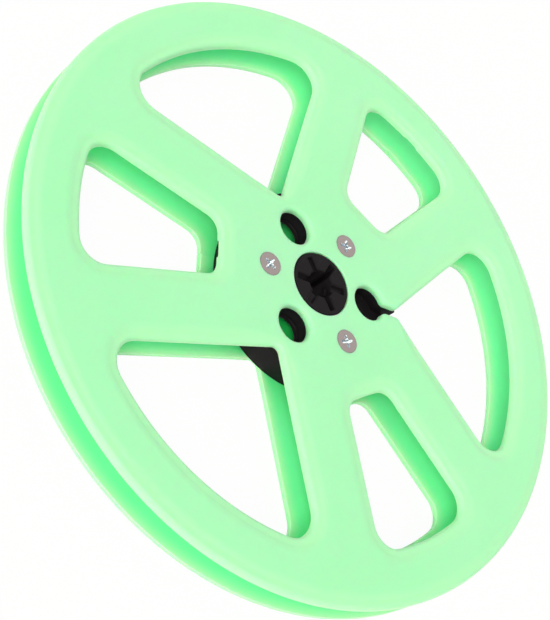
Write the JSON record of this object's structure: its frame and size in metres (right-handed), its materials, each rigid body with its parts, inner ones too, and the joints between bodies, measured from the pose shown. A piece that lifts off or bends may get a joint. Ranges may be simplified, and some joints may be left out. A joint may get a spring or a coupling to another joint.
{
  "type": "audio tape reel",
  "caption": "Empty plastic reel for quarter inch audio tape: two windowed flanges screwed to a black hub with a keyed spindle bore.",
  "frame": {"origin": "centre of the back flange's outer face, on the spindle axis, where the reel rests", "axes": "+Z along the spindle axis towards the front flange, +X along the threading slot"},
  "size_m": [0.1778, 0.1778, 0.0135],
  "materials": {
    "flange_plastic": "moulded pale green plastic, satin",
    "hub_plastic": "moulded black plastic, satin",
    "screw_steel": "zinc plated steel"
  },
  "bodies": {
    "root": {"front_flange": "flange_plastic", "back_flange": "flange_plastic", "hub": "hub_plastic", "front_screw_1": "screw_steel", "front_screw_2": "screw_steel", "front_screw_3": "screw_steel", "back_screw_1": "screw_steel", "back_screw_2": "screw_steel", "back_screw_3": "screw_steel"}
  },
  "joints": []
}
